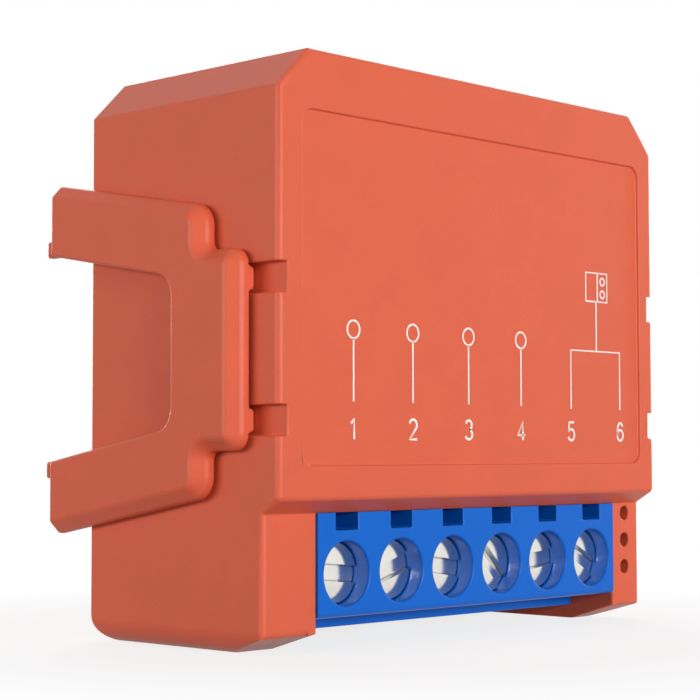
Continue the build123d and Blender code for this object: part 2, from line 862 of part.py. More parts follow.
with BuildPart() as relay_moving_contact:
    with BuildSketch(facing(armature_back_y)):
        with Locations((relay_x, contact_z)):
            Circle(rivet_radius)
    extrude(amount=-rivet_height)
write(relay_moving_contact, "relay_moving_contact")

# Fixed contact: a rivet on an angled blade whose foot goes through the base and the board
fixed_rivet_y = armature_back_y + rivet_height + contact_gap
blade_y = fixed_rivet_y + rivet_height
blade_low_z = contact_z - contact_blade_width / 2
with BuildPart() as relay_fixed_contact:
    with BuildSketch(facing(fixed_rivet_y)):
        with Locations((relay_x, contact_z)):
            Circle(rivet_radius)
    extrude(amount=-rivet_height)
    block(
        around(relay_x, contact_blade_width),
        (blade_y, blade_y + contact_blade_thickness),
        (blade_low_z - contact_blade_thickness / 2, contact_z + contact_blade_width / 2),
    )
    block(
        around(relay_x, contact_blade_width),
        (blade_y, relay_base_y),
        around(blade_low_z, contact_blade_thickness),
    )
    block(
        around(relay_x, relay_pin_width),
        (relay_base_y, board_back_y + pin_stub),
        around(blade_low_z, relay_pin_thickness),
    )
write(relay_fixed_contact, "relay_fixed_contact")

# Transformer: a ferrite frame with a middle leg, a pinned bobbin around the leg and its winding
window_gap = (core_width - 2 * core_frame - core_leg) / 2
transformer_height = transformer_back_y - transformer_y
window_length = transformer_height - 2 * core_frame
transformer_middle_y = (transformer_y + transformer_back_y) / 2
with BuildPart() as transformer_core:
    with BuildSketch(Plane.XY.offset(transformer_z)):
        with Locations((transformer_x, transformer_middle_y)):
            Rectangle(core_width, transformer_height)
        for side in (-1, 1):
            with Locations((transformer_x + side * (core_leg + window_gap) / 2, transformer_middle_y)):
                Rectangle(window_gap, window_length, mode=Mode.SUBTRACT)
    extrude(amount=core_depth / 2, both=True)
write(transformer_core, "transformer_core")

sleeve_width = core_leg + 2 * bobbin_gap
sleeve_length = core_depth + 2 * bobbin_gap
flange_width = core_leg + 2 * window_gap - 2 * bobbin_gap
flange_length = core_depth + 2 * winding_overhang + 2 * bobbin_wall
window_front_y = transformer_y + core_frame + bobbin_gap
window_back_y = transformer_back_y - core_frame - bobbin_gap
with BuildPart() as transformer_bobbin:
    block(
        around(transformer_x, sleeve_width + 2 * bobbin_wall),
        (window_front_y, window_back_y),
        around(transformer_z, sleeve_length + 2 * bobbin_wall),
    )
    for flange_y in (window_front_y, window_back_y - bobbin_wall):
        block(
            around(transformer_x, flange_width),
            (flange_y, flange_y + bobbin_wall),
            around(transformer_z, flange_length),
        )
    for side in (-1, 1):
        block(
            around(transformer_x, bobbin_foot_width),
            (window_back_y - bobbin_wall, board_y),
            around(
                transformer_z + side * (bobbin_foot_length + core_depth + 2 * bobbin_gap) / 4,
                (bobbin_foot_length - core_depth - 2 * bobbin_gap) / 2,
            ),
        )
    block(
        around(transformer_x, sleeve_width),
        (window_front_y, window_back_y),
        around(transformer_z, sleeve_length),
        mode=Mode.SUBTRACT,
    )
    with BuildSketch(facing(board_y)):
        with Locations(*transformer_pins):
            Circle(lead_radius)
    extrude(amount=-board_thickness - lead_stub)
write(transformer_bobbin, "transformer_bobbin")

with BuildPart() as transformer_winding:
    with BuildSketch(facing(window_front_y + bobbin_wall)):
        with Locations((transformer_x, transformer_z)):
            RectangleRounded(flange_width - bobbin_gap, core_depth + 2 * winding_overhang, winding_corner)
            Rectangle(
                sleeve_width + 2 * bobbin_wall,
                sleeve_length + 2 * bobbin_wall,
                mode=Mode.SUBTRACT,
            )
    extrude(amount=window_front_y - window_back_y + 2 * bobbin_wall)
write(transformer_winding, "transformer_winding")

# Two electrolytic capacitors, each a can with a rolled groove and two leads
can_back_y = board_y - can_lift
big_can_length = can_back_y - panel_back_y - big_can_head_gap
cans = (
    ("input_capacitor", big_can_x, big_can_z, big_can_radius, big_can_length, big_can_leads),
    ("output_capacitor", small_can_x, small_can_z, small_can_radius, small_can_length, small_can_leads),
)
for can_name, can_x, can_z, can_radius, can_length, can_leads in cans:
    can_y = can_back_y - can_length
    groove_y = can_back_y - can_groove_rise
    with BuildPart() as can:
        with BuildSketch(Plane((can_x, 0, can_z))):
            with BuildLine():
                top = Line((0, can_y), (can_radius - can_corner, can_y))
                shoulder = TangentArc(top @ 1, (can_radius, can_y + can_corner), tangent=(1, 0))
                wall_line = Line(shoulder @ 1, (can_radius, groove_y - can_groove_height))
                groove = ThreePointArc(
                    wall_line @ 1,
                    (can_radius - can_groove, groove_y - can_groove_height / 2),
                    (can_radius, groove_y),
                )
                Polyline(groove @ 1, (can_radius, can_back_y), (0, can_back_y), top @ 0)
            make_face()
        revolve(axis=Axis((can_x, 0, can_z), (0, 1, 0)))
        with BuildSketch(facing(can_back_y)):
            with Locations(*can_leads):
                Circle(lead_radius)
        extrude(amount=can_back_y - board_back_y - lead_stub)
    write(can, can_name)

# Surge disc, standing on its two leads
with BuildPart() as surge_disc:
    with BuildSketch(Plane.YZ.offset(disc_x)):
        with Locations((disc_y, disc_z)):
            Circle(disc_radius)
    extrude(amount=disc_thickness / 2, both=True)
    fillet(surge_disc.edges().filter_by(GeomType.CIRCLE), radius=disc_edge)
    with BuildSketch(facing(disc_y)):
        with Locations(*disc_leads):
            Circle(lead_radius)
    extrude(amount=disc_y - board_back_y - lead_stub)
write(surge_disc, "surge_disc")

# Fusible resistor, a waisted body that stands on one lead, with the other bent over and down beside it
resistor_ends = around(resistor_y, resistor_length)
resistor_head_y = resistor_ends[0] - resistor_lead_reach
with BuildPart() as fusible_resistor:
    with BuildSketch(Plane((resistor_x, 0, resistor_z))):
        with BuildLine():
            waist = ThreePointArc(
                (resistor_radius, resistor_ends[0]),
                (resistor_radius - resistor_waist, resistor_y),
                (resistor_radius, resistor_ends[1]),
            )
            Polyline(waist @ 1, (0, resistor_ends[1]), (0, resistor_ends[0]), waist @ 0)
        make_face()
    revolve(axis=Axis((resistor_x, 0, resistor_z), (0, 1, 0)))
    with BuildLine():
        lead = FilletPolyline(
            (resistor_x, resistor_ends[0], resistor_z),
            (resistor_x, resistor_head_y, resistor_z),
            (resistor_x, resistor_head_y, resistor_lead_z),
            (resistor_x, board_back_y + lead_stub, resistor_lead_z),
            radius=resistor_lead_bend,
        )
    with BuildSketch(Plane(lead @ 0, z_dir=lead % 0)):
        Circle(lead_radius)
    sweep()
    with BuildSketch(facing(resistor_ends[1])):
        with Locations((resistor_x, resistor_z)):
            Circle(lead_radius)
    extrude(amount=resistor_ends[1] - board_back_y - lead_stub)
write(fusible_resistor, "fusible_resistor")

# Chips with flat feet at two ends: rectifier, power converter and the door sensor's coupler
chips = (
    ("bridge_rectifier", (1, 0, 0), bridge_x, bridge_z, bridge_size, bridge_foot_count),
    ("power_converter", (0, 0, 1), transformer_x, transformer_z, converter_size, converter_foot_count),
    ("sensor_coupler", (1, 0, 0), coupler_x, coupler_z, coupler_size, coupler_foot_count),
)
for chip_name, width_direction, chip_x, chip_z, (chip_width, chip_height, chip_length), foot_count in chips:
    seat = Plane((chip_x, board_y, chip_z), x_dir=width_direction, z_dir=(0, -1, 0))
    with BuildPart() as chip:
        with BuildSketch(seat.offset(chip_stand)):
            Rectangle(chip_width, chip_length)
        extrude(amount=chip_height)
        chamfer(chip.faces().sort_by(Axis.Y)[0].edges(), length=chip_corner)
        with BuildSketch(seat):
            with GridLocations(chip_width / foot_count, chip_length + chip_foot_length, foot_count, 2):
                Rectangle(chip_foot_width, chip_foot_length)
        extrude(amount=chip_foot_thickness)
    write(chip, chip_name)

# Small surface parts, four alike in a column beside the power converter, under the transformer
with BuildPart() as surface_parts:
    with BuildSketch(facing(board_y)):
        with Locations((small_part_x, transformer_z)):
            with GridLocations(0, small_part_pitch, 1, small_part_count):
                Rectangle(small_part_size[0], small_part_size[2])
    extrude(amount=small_part_size[1])
write(surface_parts, "surface_parts")

# Radio board, which stands square to the main board, with its chip under a metal shield
with BuildPart() as radio_board:
    block((radio_left, radio_right), (radio_y, board_y), (radio_low_z, radio_high_z))
write(radio_board, "radio_board")

with BuildPart() as radio_chip:
    block(
        (radio_left - radio_chip_size[0], radio_left),
        around(shield_middle_y, radio_chip_size[1]),
        around(shield_middle_z, radio_chip_size[2]),
    )
write(radio_chip, "radio_chip")

with BuildPart() as radio_shield:
    with BuildSketch(Plane.YZ.offset(radio_left)):
        with Locations((shield_middle_y, shield_middle_z)):
            RectangleRounded(shield_width, shield_length, shield_corner)
    extrude(amount=-shield_height)
    fillet(radio_shield.faces().sort_by(Axis.X)[0].edges(), radius=shield_skin)
    with BuildSketch(Plane.YZ.offset(radio_left)):
        with Locations((shield_middle_y, shield_middle_z)):
            RectangleRounded(
                shield_width - 2 * shield_skin,
                shield_length - 2 * shield_skin,
                shield_corner - shield_skin,
            )
    extrude(amount=shield_skin - shield_height, mode=Mode.SUBTRACT)
write(radio_shield, "radio_shield")

# Pin header that holds the radio board: a plastic bar, a foot on the radio board and a pin for each way
with BuildPart() as radio_header:
    block(
        (radio_right, radio_right + header_size),
        (board_y - header_size, board_y),
        around(header_z, header_count * header_pitch),
    )
    for pin_x, place_z in header_pins:
        block(
            around(pin_x, header_foot),
            (board_y - header_size - header_reach, board_y - header_size),
            around(place_z, header_foot),
        )
        block(around(pin_x, header_foot), (board_y, board_back_y + pin_stub), around(place_z, header_foot))
write(radio_header, "radio_header")

# Push switch on the board behind the middle ear hole, with a guide hole for its stem
switch_y = board_y - switch_depth
stem_y = switch_y - stem_stand
stem_rear_y = switch_y + stem_seat
with BuildPart() as switch_body:
    block(around(ear_middle_x, switch_width), (switch_y, board_y), around(button_z, switch_height))
    block(
        around(ear_middle_x, stem_width + 2 * slide_gap),
        (switch_y, stem_rear_y + button_travel + running_gap),
        around(button_z, stem_height + 2 * slide_gap),
        mode=Mode.SUBTRACT,
    )
write(switch_body, "switch_body")

with BuildPart() as switch_stem:
    block(around(ear_middle_x, stem_width), (stem_y, stem_rear_y), around(button_z, stem_height))
    fillet(switch_stem.edges().filter_by(Axis.Y), radius=stem_corner)
write(switch_stem, "switch_stem")

# Plunger that a pin through the middle ear hole pushes onto the stem
plunger_y = ear_back_y + seat_gap
collar_y = bridge_rear_y + slide_gap
with BuildPart() as pairing_plunger:
    for rod_radius, start_y, end_y in (
        (plunger_radius, plunger_y, stem_y),
        (plunger_collar_radius, collar_y, collar_y + plunger_collar_length),
    ):
        with BuildSketch(facing(start_y)):
            with Locations((ear_hole_x, button_z)):
                Circle(rod_radius)
        extrude(amount=start_y - end_y)
write(pairing_plunger, "pairing_plunger")

# Two lights on the board, each with a clear rod that leads its light to an ear hole
light_y = board_y - light_size[1]
light_zs = (base_z + ear_hole_rises[0], base_z + ear_hole_rises[-1])
with BuildPart() as status_lights:
    for light_z in light_zs:
        block(around(ear_middle_x, light_size[0]), (light_y, board_y), around(light_z, light_size[2]))
write(status_lights, "status_lights")

with BuildPart() as light_guides:
    with BuildSketch(facing(plunger_y)):
        with Locations(*[(ear_hole_x, light_z) for light_z in light_zs]):
            Circle(plunger_radius)
    extrude(amount=plunger_y - light_y + running_gap)
write(light_guides, "light_guides")
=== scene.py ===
import json
from math import asin, cos, pi, radians, sin

import bmesh
import bpy
from mathutils import Euler, Matrix, Vector


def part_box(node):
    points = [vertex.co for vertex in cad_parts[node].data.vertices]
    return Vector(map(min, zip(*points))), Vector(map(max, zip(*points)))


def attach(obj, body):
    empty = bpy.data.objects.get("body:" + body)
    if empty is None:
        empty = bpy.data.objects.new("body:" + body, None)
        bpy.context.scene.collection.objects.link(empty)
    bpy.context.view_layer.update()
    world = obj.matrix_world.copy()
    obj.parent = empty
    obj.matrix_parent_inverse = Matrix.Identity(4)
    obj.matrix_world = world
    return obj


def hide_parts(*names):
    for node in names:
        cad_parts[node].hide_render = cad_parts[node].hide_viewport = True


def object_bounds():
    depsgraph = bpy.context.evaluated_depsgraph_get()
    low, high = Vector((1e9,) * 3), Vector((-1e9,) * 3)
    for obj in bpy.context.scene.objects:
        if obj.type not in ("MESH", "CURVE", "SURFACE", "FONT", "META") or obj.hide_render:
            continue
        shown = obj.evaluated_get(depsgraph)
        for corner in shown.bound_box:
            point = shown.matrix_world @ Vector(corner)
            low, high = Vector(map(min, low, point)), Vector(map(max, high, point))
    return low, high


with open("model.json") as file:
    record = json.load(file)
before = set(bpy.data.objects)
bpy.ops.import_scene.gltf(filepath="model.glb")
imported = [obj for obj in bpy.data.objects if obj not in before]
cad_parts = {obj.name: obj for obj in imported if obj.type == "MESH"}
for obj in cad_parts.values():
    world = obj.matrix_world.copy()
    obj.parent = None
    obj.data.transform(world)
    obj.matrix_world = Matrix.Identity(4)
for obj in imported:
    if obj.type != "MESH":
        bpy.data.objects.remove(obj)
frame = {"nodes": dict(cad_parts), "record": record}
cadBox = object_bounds()
mm = 0.001
white = (1.0, 1.0, 1.0, 1.0)
nodeNames = sorted(frame["nodes"])
slotOf = {entry["node"]: entry["material_slot"] for entry in frame["record"]["subparts"]}
bodyOf = {node: body for body, group in frame["record"]["behaviour"]["bodies"].items() for node in group}


# Wires and nets: an expression on wires adds the nodes that work it out

class Wire:
    def __init__(self, net, socket):
        self.net = net
        self.socket = socket

    def out(self, name):  # another output of the same node
        return Wire(self.net, self.socket.node.outputs[name])

    def __add__(self, other):
        return self.net.math("ADD", self, other)

    def __radd__(self, other):
        return self.net.math("ADD", other, self)

    def __sub__(self, other):
        return self.net.math("SUBTRACT", self, other)

    def __rsub__(self, other):
        return self.net.math("SUBTRACT", other, self)

    def __mul__(self, other):
        return self.net.math("MULTIPLY", self, other)

    def __rmul__(self, other):
        return self.net.math("MULTIPLY", other, self)

    def __truediv__(self, other):
        return self.net.math("DIVIDE", self, other)

    def __rtruediv__(self, other):
        return self.net.math("DIVIDE", other, self)


class Net:
    def __init__(self, tree):
        self.tree = tree

    def add(self, kind, settings=None, values=None, output=0):
        node = self.tree.nodes.new(kind)
        for name, value in (settings or {}).items():
            setattr(node, name, value)
        for name, value in (values or {}).items():
            for part in value if isinstance(value, list) else [value]:
                if isinstance(part, Wire):
                    self.tree.links.new(part.socket, node.inputs[name])
                else:
                    node.inputs[name].default_value = part
        return Wire(self, node.outputs[output]) if node.outputs else None

    def math(self, operation, *values):
        return self.add("ShaderNodeMath", {"operation": operation}, dict(enumerate(values)))

    def spread(self, value, low, high, newLow=0.0, newHigh=1.0):  # value from low..high to newLow..newHigh
        return self.add("ShaderNodeMapRange", {"clamp": True}, {
            "Value": value, "From Min": low, "From Max": high, "To Min": newLow, "To Max": newHigh})

    def blend(self, amount, first, second):  # from the first colour to the second
        return self.add("ShaderNodeMix", {"data_type": "RGBA"}, {0: amount, 6: first, 7: second}, output=2)

    def vector(self, operation, *values, output=0):
        return self.add("ShaderNodeVectorMath", {"operation": operation}, dict(enumerate(values)), output)

    def split(self, vector):  # its X, Y and Z are outputs
        return self.add("ShaderNodeSeparateXYZ", None, {0: vector})

    def join(self, **parts):  # a vector from x, y and z, where those left out are 0
        values = {"xyz".index(name): part for name, part in parts.items()}
        return self.add("ShaderNodeCombineXYZ", None, values)


# Finishes: each is one material that reads Object coordinates

def tinted(colour, share):
    return tuple(min(part * share, 1.0) for part in colour[:3]) + (1.0,)


def startFinish(name):
    material = bpy.data.materials.new(name)
    material.use_nodes = True
    material.node_tree.nodes.clear()
    net = Net(material.node_tree)
    place = net.add("ShaderNodeTexCoord").out("Object")
    return material, net, place


def scaled(net, place, scale):
    return net.add("ShaderNodeMapping", None, {"Vector": place, "Scale": scale})


def grainNoise(net, place, size, detail=2.0, stretch=(1.0, 1.0, 1.0)):  # cells about size metres wide
    stretched = scaled(net, place, tuple(part / size for part in stretch))
    return net.add("ShaderNodeTexNoise", None, {"Vector": stretched, "Scale": 1.0, "Detail": detail})


def endFinish(net, material, values, height=None, depth=0.0):
    if height is not None:
        values["Normal"] = net.add("ShaderNodeBump", None,
                                   {"Strength": 1.0, "Distance": depth, "Height": height})
    shader = net.add("ShaderNodeBsdfPrincipled", None, values)
    net.add("ShaderNodeOutputMaterial", None, {"Surface": shader})
    return material


def inWells(net, place):  # 1 on the walls of the round wells, which the mould's pins leave polished
    well = {"pitch": 5.0 * mm, "first": -11.905 * mm, "axisHeight": -13.63 * mm, "radius": 2.12 * mm,
            "mouth": -16.22 * mm, "floor": -14.0 * mm}
    part = net.split(place)
    across = net.math("PINGPONG", part.out("X") - well["first"], well["pitch"] / 2)
    up = part.out("Z") - well["axisHeight"]
    away = net.math("SQRT", across * across + up * up)
    behindMouth = net.math("GREATER_THAN", part.out("Y"), well["mouth"])
    beforeFloor = net.math("LESS_THAN", part.out("Y"), well["floor"])
    return net.math("LESS_THAN", away, well["radius"]) * behindMouth * beforeFloor


plasticLook = {  # how far the fine grain and the broad flow marks change the colour and the roughness
    "noiseRange": (0.3, 0.7), "flowSize": 3.0 * mm, "flowDark": 0.96, "flowPale": 1.02, "speckleDark": 0.9,
    "speckleShare": 0.35, "flowRough": 0.04, "speckleRough": 0.05, "polish": 0.55,
    "polishRough": 0.26, "polishIndex": 1.6,
}


def mouldedPlastic(name, colour, rough=0.39, grain=0.16 * mm, grainDepth=0.0011 * mm, gloss=0.26,
                   polished=None):
    look = plasticLook
    material, net, place = startFinish(name)
    fine = grainNoise(net, place, grain)
    broad = grainNoise(net, place, look["flowSize"], detail=3.0)
    speckle = net.spread(fine, *look["noiseRange"])
    flow = net.spread(broad, *look["noiseRange"])
    body = net.blend(flow, tinted(colour, look["flowDark"]), tinted(colour, look["flowPale"]))
    body = net.blend(speckle * look["speckleShare"], body, tinted(colour, look["speckleDark"]))
    roughness = rough + flow * look["flowRough"] + speckle * look["speckleRough"]
    values = {"Base Color": body, "Roughness": roughness, "Metallic": 0.0, "Specular IOR Level": gloss}
    if polished is not None:
        values["Coat Weight"] = polished(net, place) * look["polish"]
        values["Coat Roughness"] = look["polishRough"]
        values["Coat IOR"] = look["polishIndex"]
    return endFinish(net, material, values, fine, grainDepth)


metalLook = {  # stains over the metal, and the painted shade that darkens its inner corners
    "stainSize": 0.8 * mm, "stainRange": (0.42, 0.75), "stainShare": 0.55, "stainRough": 0.03,
    "brushSize": 0.05 * mm, "brushStretch": (1.0, 1.0, 12.0), "brushRough": 0.04,
    "cornerSamples": 8, "cornerRange": (0.35, 0.85), "cornerShade": 0.12,
}


def turnedMetal(name, colour, rough=0.16, dark=0.72, depth=0.0004 * mm, metal=1.0,
                grime=0.0):  # the last argument is how far the painted shade reaches out of an inner corner
    look = metalLook
    material, net, place = startFinish(name)
    brushed = grainNoise(net, place, look["brushSize"], stretch=look["brushStretch"])
    stain = net.spread(grainNoise(net, place, look["stainSize"], detail=4.0), *look["stainRange"])
    body = net.blend(stain * look["stainShare"], colour, tinted(colour, dark))
    if grime:
        # painted shade: ambient occlusion darkens the base colour in inner corners, slot edges and the gaps
        # round the heads
        cornerOcclusion = net.add("ShaderNodeAmbientOcclusion", {"samples": look["cornerSamples"]}, {"Distance": grime})
        unshadedShare = net.spread(cornerOcclusion.out("AO"), *look["cornerRange"])
        body = net.blend(unshadedShare, tinted(colour, look["cornerShade"]), body)
    values = {"Base Color": body, "Metallic": metal,
              "Roughness": rough + brushed * look["brushRough"] + stain * look["stainRough"]}
    return endFinish(net, material, values, brushed, depth)


def boardLaminate(name):  # solder mask over copper tracks, with pale pads
    look = {"mask": (0.012, 0.12, 0.045, 1.0), "track": (0.02, 0.19, 0.07, 1.0),
            "pad": (0.62, 0.58, 0.5, 1.0), "trackPitch": 0.9 * mm, "trackEdge": (0.62, 0.66),
            "padPitch": 2.54 * mm, "padRadius": 0.16, "padBlur": 0.02, "padScatter": 0.35, "padMetal": 0.8,
            "padSmooth": 0.1, "weave": 0.12 * mm, "weaveShare": 0.15, "weaveDark": 0.6, "rough": 0.34,
            "height": 0.012 * mm}
    material, net, place = startFinish(name)
    tracks = net.add("ShaderNodeTexVoronoi", {"distance": "CHEBYCHEV", "feature": "F2"},
                     {"Vector": scaled(net, place, (1 / look["trackPitch"],) * 3), "Scale": 1.0})
    isTrack = net.spread(tracks.out("Distance"), *look["trackEdge"])
    pads = net.add("ShaderNodeTexVoronoi", {"distance": "EUCLIDEAN"},
                   {"Vector": scaled(net, place, (1 / look["padPitch"],) * 3), "Scale": 1.0,
                    "Randomness": look["padScatter"]})
    isPad = net.spread(pads.out("Distance"), look["padRadius"] + look["padBlur"], look["padRadius"])
    weave = grainNoise(net, place, look["weave"])
    body = net.blend(isTrack, look["mask"], look["track"])
    body = net.blend(weave * look["weaveShare"], body, tinted(look["mask"], look["weaveDark"]))
    body = net.blend(isPad, body, look["pad"])
    values = {"Base Color": body, "Metallic": isPad * look["padMetal"],
              "Roughness": look["rough"] - isPad * look["padSmooth"]}
    return endFinish(net, material, values, isTrack + isPad, look["height"])


def clearPlastic(name):
    look = {"clear": (0.93, 0.92, 0.9, 1.0), "hazy": (0.8, 0.78, 0.75, 1.0), "hazeSize": 0.3 * mm,
            "hazeShare": 0.2, "rough": 0.14, "hazeRough": 0.1, "through": 0.75, "index": 1.49}
    material, net, place = startFinish(name)
    haze = grainNoise(net, place, look["hazeSize"])
    values = {"Base Color": net.blend(haze * look["hazeShare"], look["clear"], look["hazy"]),
              "Roughness": look["rough"] + haze * look["hazeRough"], "Transmission Weight": look["through"],
              "IOR": look["index"]}
    return endFinish(net, material, values)


def printedInk(name):
    look = {"full": (0.93, 0.91, 0.88, 1.0), "thin": (0.9, 0.82, 0.77, 1.0), "patchSize": 0.1 * mm,
            "patchRange": (0.35, 0.7), "patchShare": 0.5, "rough": 0.5, "patchRough": 0.1,
            "depth": 0.001 * mm}
    material, net, place = startFinish(name)
    thin = net.spread(grainNoise(net, place, look["patchSize"]), *look["patchRange"])
    values = {"Base Color": net.blend(thin * look["patchShare"], look["full"], look["thin"]),
              "Roughness": look["rough"] + thin * look["patchRough"]}
    return endFinish(net, material, values, thin, look["depth"])


finishes = {
    "orange_plastic": mouldedPlastic("satinOrange", (0.714, 0.1205, 0.0557, 1.0)),
    "blue_plastic": mouldedPlastic("satinBlue", (0.003, 0.131, 0.607, 1.0), rough=0.27,
                                   grainDepth=0.0002 * mm, gloss=0.16, polished=inWells),
    # the screws' steel carries painted shade in its slots and inner corners
    "screw_steel": turnedMetal("turnedSteel", (0.80, 0.79, 0.74, 1.0), rough=0.12, dark=0.9,
                               depth=0.00003 * mm, metal=0.98, grime=0.16 * mm),
    "cage_brass": turnedMetal("platedBrass", (0.72, 0.62, 0.42, 1.0), rough=0.28),
    "tinned_copper": turnedMetal("tinnedCopper", (0.74, 0.72, 0.69, 1.0), rough=0.26),
    "board_laminate": boardLaminate("boardLaminate"),
    "relay_plastic": mouldedPlastic("relayPlastic", (0.016, 0.045, 0.13, 1.0), rough=0.34),
    "bobbin_plastic": mouldedPlastic("bobbinPlastic", (0.028, 0.028, 0.03, 1.0), rough=0.46),
    "magnet_steel": turnedMetal("zincedSteel", (0.62, 0.62, 0.63, 1.0), rough=0.34, dark=0.6),
    "copper_wire": turnedMetal("enamelledWire", (0.68, 0.24, 0.09, 1.0), rough=0.24, dark=0.55),
    "winding_tape": mouldedPlastic("windingTape", (0.75, 0.52, 0.06, 1.0), rough=0.22, grain=0.4 * mm),
    "ferrite": mouldedPlastic("ferrite", (0.045, 0.043, 0.045, 1.0), rough=0.52, grain=0.08 * mm,
                              grainDepth=0.006 * mm),
    "can_sleeve": mouldedPlastic("canSleeve", (0.014, 0.016, 0.03, 1.0), rough=0.2, grain=0.6 * mm),
    "disc_epoxy": mouldedPlastic("discEpoxy", (0.02, 0.09, 0.34, 1.0), rough=0.3, grain=0.5 * mm,
                                 grainDepth=0.01 * mm),
    "resistor_coat": mouldedPlastic("resistorCoat", (0.1, 0.27, 0.2, 1.0), rough=0.42, grain=0.3 * mm),
    "chip_plastic": mouldedPlastic("chipPlastic", (0.022, 0.022, 0.024, 1.0), rough=0.58, grain=0.06 * mm,
                                   grainDepth=0.004 * mm),
    "shield_metal": turnedMetal("shieldMetal", (0.7, 0.7, 0.69, 1.0), rough=0.3),
    "button_plastic": mouldedPlastic("buttonPlastic", (0.05, 0.05, 0.055, 1.0), rough=0.4),
    "clear_plastic": clearPlastic("clearPlastic"),
    "light_white": mouldedPlastic("lightWhite", (0.78, 0.77, 0.68, 1.0), rough=0.3),
}
ink = printedInk("whiteInk")
print("finishes made:", len(finishes))


# Pieces and their meshes

def settle(piece, body, slotName, *standsFor):
    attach(piece, body)
    if standsFor:
        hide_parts(*standsFor)
    return piece


def newPiece(name, mesh, material=None):
    piece = bpy.data.objects.new(name, mesh)
    bpy.context.scene.collection.objects.link(piece)
    if material is not None:
        mesh.materials.clear()
        mesh.materials.append(material)
    return piece


def evaluatedMesh(host, name):  # the host goes, and what its modifiers made stays as a plain mesh
    bpy.context.view_layer.update()
    mesh = bpy.data.meshes.new_from_object(host.evaluated_get(bpy.context.evaluated_depsgraph_get()))
    mesh.name = name
    bpy.data.objects.remove(host)
    return mesh


def smoothed(mesh, crispAngle):
    mesh.polygons.foreach_set("use_smooth", [True] * len(mesh.polygons))
    mesh.set_sharp_from_angle(angle=crispAngle)
    return mesh


# Box, clip, strip and cover: joined copies of their CAD nodes, whose sharp edges are eased

eased = {  # how far the sharp edges of each dressed node are rounded
    "case_shell": 0.09 * mm,
    "side_clip": 0.18 * mm,
    "terminal_strip": 0.08 * mm,
    "back_cover": 0.1 * mm,
}
easingLook = {"sharpAngle": radians(32), "segments": 3, "broadFaceWeight": 100}
joining = {"distance": 0.002 * mm, "flat": radians(0.3)}
tongueLead = {"straight": 0.05 * mm, "slope": 1.0, "near": 0.02 * mm, "cutNear": 0.0005 * mm}
seam = {"gap": 0.075 * mm, "near": 0.01 * mm, "frontPart": -14.9 * mm, "frontTop": -9.94 * mm}
footEdge = {"front": -15.7 * mm, "low": -17.35 * mm, "high": -16.79 * mm}
stripLow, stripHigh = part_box("terminal_strip")


def taperTongues(shape):  # the clip's tongues start with a slanted lead-in inside the slots
    front = min(corner.co.y for corner in shape.verts)
    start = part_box("case_shell")[0].x + tongueLead["straight"]
    bmesh.ops.bisect_plane(shape, geom=shape.verts[:] + shape.edges[:] + shape.faces[:],
                           dist=tongueLead["cutNear"], plane_co=(start, 0, 0), plane_no=(1, 0, 0))
    for corner in shape.verts:
        if corner.co.x > start and corner.co.y < front + tongueLead["near"]:
            corner.co.y += (corner.co.x - start) * tongueLead["slope"]


def closeSeams(shape):  # the strip's front part meets the case without a dark line
    for corner in shape.verts:
        if corner.co.y < seam["frontPart"]:
            if abs(corner.co.z - seam["frontTop"]) < seam["near"]:
                corner.co.z += seam["gap"]
            if corner.co.x < stripLow.x + seam["near"]:
                corner.co.x -= seam["gap"]
            elif corner.co.x > stripHigh.x - seam["near"]:
                corner.co.x += seam["gap"]


def footFront(place):  # the feet's lower front edges, which the CAD has rounded
    return place.y < footEdge["front"] and footEdge["low"] < place.z < footEdge["high"]


def stripSeam(place):  # the strip's edges that meet the case
    reached = place.z > seam["frontTop"] + seam["near"] or place.x < stripLow.x or place.x > stripHigh.x
    return place.y < seam["frontPart"] and reached


reshaped = {"side_clip": taperTongues, "terminal_strip": closeSeams}
leftAlone = {"case_shell": footFront, "terminal_strip": stripSeam}  # edges between such places aren't eased


def joinedCopy(node):  # the node's loose triangles, joined, with flat faces whole again
    source = frame["nodes"][node].data
    mesh = bpy.data.meshes.new(node + "Copy")
    points = [point.co[:] for point in source.vertices]
    mesh.from_pydata(points, [], [face.vertices[:] for face in source.polygons])
    shape = bmesh.new()
    shape.from_mesh(mesh)
    bmesh.ops.remove_doubles(shape, verts=shape.verts, dist=joining["distance"])
    bmesh.ops.dissolve_degenerate(shape, edges=shape.edges, dist=joining["distance"])
    bmesh.ops.dissolve_limit(shape, angle_limit=joining["flat"], verts=shape.verts, edges=shape.edges)
    if node in reshaped:
        reshaped[node](shape)
    weight = shape.edges.layers.float.new("bevel_weight_edge")
    for edge in shape.edges:
        spared = node in leftAlone and all(leftAlone[node](corner.co) for corner in edge.verts)
        edge[weight] = float(edge.calc_face_angle(0.0) > easingLook["sharpAngle"] and not spared)
    shape.to_mesh(mesh)
    shape.free()
    return smoothed(mesh, easingLook["sharpAngle"])


def easedCopy(node, name, easing):
    host = newPiece(name + "Host", joinedCopy(node))
    bevel = host.modifiers.new("easing", "BEVEL")
    bevel.width = easing
    bevel.segments = easingLook["segments"]
    bevel.limit_method = "WEIGHT"
    bevel.use_clamp_overlap = False
    bevel.miter_outer = "MITER_ARC"
    bevel.harden_normals = False
    level = host.modifiers.new("level", "WEIGHTED_NORMAL")
    level.keep_sharp = True
    level.weight = easingLook["broadFaceWeight"]
    return newPiece(name, evaluatedMesh(host, name), finishes[slotOf[node]])


def pieceName(node):
    words = node.split("_")
    return words[0] + "".join(word.capitalize() for word in words[1:])


for node, easing in eased.items():
    piece = easedCopy(node, pieceName(node), easing)
    settle(piece, bodyOf[node], slotOf[node], node)
    print("eased", node, len(piece.data.polygons))
for node in nodeNames:
    if node not in eased:
        mesh = frame["nodes"][node].data
        mesh.materials.clear()
        mesh.materials.append(finishes[slotOf[node]])


# Geometry trees

